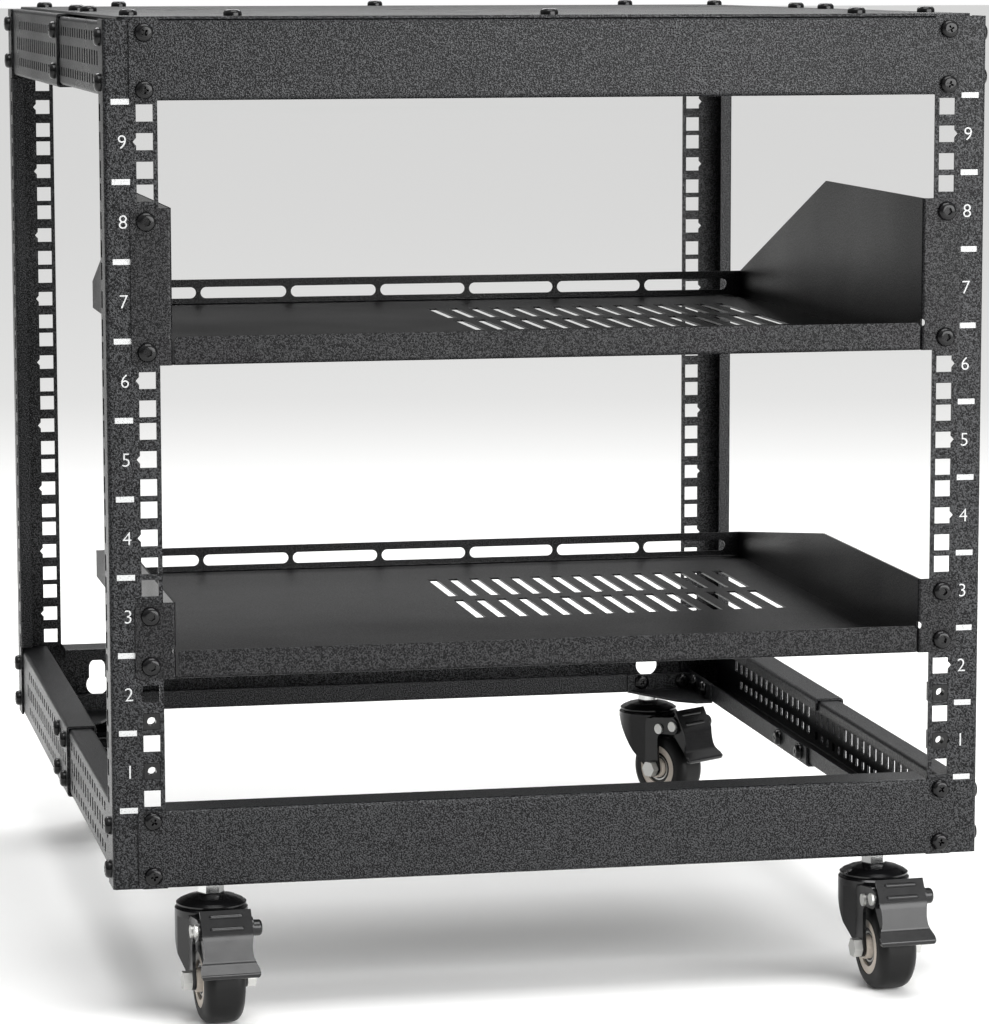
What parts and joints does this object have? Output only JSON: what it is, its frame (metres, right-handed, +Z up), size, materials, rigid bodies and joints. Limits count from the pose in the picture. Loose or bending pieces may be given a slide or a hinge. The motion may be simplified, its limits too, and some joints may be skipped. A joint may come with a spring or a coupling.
{
  "type": "four post open frame rack",
  "caption": "Short open frame equipment rack with four punched posts, telescoping side rails, flat cover, two cantilever shelves and braked swivel casters.",
  "frame": {"origin": "on the floor, under the middle of the whole rack's box with its casters as they stand", "axes": "+X to the right as seen from the front, +Y from the front to the back, +Z up"},
  "size_m": [0.511, 0.6488, 0.5706],
  "materials": {
    "black_powder_coat": "fine sand texture, satin",
    "shelf_powder_coat": "fine texture, semi-gloss",
    "caster_black_enamel": "gloss enamel",
    "zinc_plated_steel": "zinc plate",
    "hub_nylon": "moulded nylon",
    "tread_rubber": "matte rubber",
    "cage_nut_steel": "black spring steel"
  },
  "bodies": {
    "frame": {"post_front_left": "black_powder_coat", "post_front_right": "black_powder_coat", "post_rear_left": "black_powder_coat", "post_rear_right": "black_powder_coat", "beam_front_top": "black_powder_coat", "beam_front_bottom": "black_powder_coat", "beam_rear_top": "black_powder_coat", "beam_rear_bottom": "black_powder_coat", "rail_left_top_front": "black_powder_coat", "rail_left_top_rear": "black_powder_coat", "rail_left_bottom_front": "black_powder_coat", "rail_left_bottom_rear": "black_powder_coat", "rail_right_top_front": "black_powder_coat", "rail_right_top_rear": "black_powder_coat", "rail_right_bottom_front": "black_powder_coat", "rail_right_bottom_rear": "black_powder_coat", "top_cover": "black_powder_coat", "corner_braces": "black_powder_coat", "shelf_upper": "shelf_powder_coat", "shelf_lower": "shelf_powder_coat", "cage_nuts": "cage_nut_steel", "caster_front_left_mount": "zinc_plated_steel", "caster_front_right_mount": "zinc_plated_steel", "caster_rear_left_mount": "zinc_plated_steel", "caster_rear_right_mount": "zinc_plated_steel"},
    "swivel_front_left": {"caster_front_left_fork": "caster_black_enamel", "caster_front_left_pins": "zinc_plated_steel"},
    "wheel_front_left": {"caster_front_left_wheel": "hub_nylon", "caster_front_left_tyre": "tread_rubber"},
    "brake_front_left": {"caster_front_left_pedal": "caster_black_enamel"},
    "swivel_front_right": {"caster_front_right_fork": "caster_black_enamel", "caster_front_right_pins": "zinc_plated_steel"},
    "wheel_front_right": {"caster_front_right_wheel": "hub_nylon", "caster_front_right_tyre": "tread_rubber"},
    "brake_front_right": {"caster_front_right_pedal": "caster_black_enamel"},
    "swivel_rear_left": {"caster_rear_left_fork": "caster_black_enamel", "caster_rear_left_pins": "zinc_plated_steel"},
    "wheel_rear_left": {"caster_rear_left_wheel": "hub_nylon", "caster_rear_left_tyre": "tread_rubber"},
    "brake_rear_left": {"caster_rear_left_pedal": "caster_black_enamel"},
    "swivel_rear_right": {"caster_rear_right_fork": "caster_black_enamel", "caster_rear_right_pins": "zinc_plated_steel"},
    "wheel_rear_right": {"caster_rear_right_wheel": "hub_nylon", "caster_rear_right_tyre": "tread_rubber"},
    "brake_rear_right": {"caster_rear_right_pedal": "caster_black_enamel"}
  },
  "joints": [
    {"name": "front_left_swivel", "type": "hinge", "parent": "frame", "child": "swivel_front_left", "pos_m": [-0.1977, -0.26518, 0.0646], "axis": [0, 0, 1], "continuous": true},
    {"name": "front_left_wheel_spin", "type": "hinge", "parent": "swivel_front_left", "child": "wheel_front_left", "pos_m": [-0.19648, -0.28514, 0.025], "axis": [0.9981, 0.061, 0], "continuous": true},
    {"name": "front_left_brake_pedal", "type": "hinge", "parent": "swivel_front_left", "child": "brake_front_left", "pos_m": [-0.19528, -0.30481, 0.058], "axis": [0.9981, 0.061, 0], "range_deg": [0, 16]},
    {"name": "front_right_swivel", "type": "hinge", "parent": "frame", "child": "swivel_front_right", "pos_m": [0.1977, -0.26518, 0.0646], "axis": [0, 0, 1], "continuous": true},
    {"name": "front_right_wheel_spin", "type": "hinge", "parent": "swivel_front_right", "child": "wheel_front_right", "pos_m": [0.19927, -0.28512, 0.025], "axis": [0.9969, 0.0785, 0], "continuous": true},
    {"name": "front_right_brake_pedal", "type": "hinge", "parent": "swivel_front_right", "child": "brake_front_right", "pos_m": [0.20081, -0.30476, 0.058], "axis": [0.9969, 0.0785, 0], "range_deg": [0, 16]},
    {"name": "rear_left_swivel", "type": "hinge", "parent": "frame", "child": "swivel_rear_left", "pos_m": [-0.1977, 0.30342, 0.0646], "axis": [0, 0, 1], "continuous": true},
    {"name": "rear_left_wheel_spin", "type": "hinge", "parent": "swivel_rear_left", "child": "wheel_rear_left", "pos_m": [-0.1977, 0.28342, 0.025], "axis": [1, 0, 0], "continuous": true},
    {"name": "rear_left_brake_pedal", "type": "hinge", "parent": "swivel_rear_left", "child": "brake_rear_left", "pos_m": [-0.1977, 0.26372, 0.058], "axis": [1, 0, 0], "range_deg": [0, 16]},
    {"name": "rear_right_swivel", "type": "hinge", "parent": "frame", "child": "swivel_rear_right", "pos_m": [0.1977, 0.30342, 0.0646], "axis": [0, 0, 1], "continuous": true},
    {"name": "rear_right_wheel_spin", "type": "hinge", "parent": "swivel_rear_right", "child": "wheel_rear_right", "pos_m": [0.20847, 0.28657, 0.025], "axis": [0.8425, 0.5388, 0], "continuous": true},
    {"name": "rear_right_brake_pedal", "type": "hinge", "parent": "swivel_rear_right", "child": "brake_rear_right", "pos_m": [0.21909, 0.26997, 0.058], "axis": [0.8425, 0.5388, 0], "range_deg": [0, 16]}
  ]
}
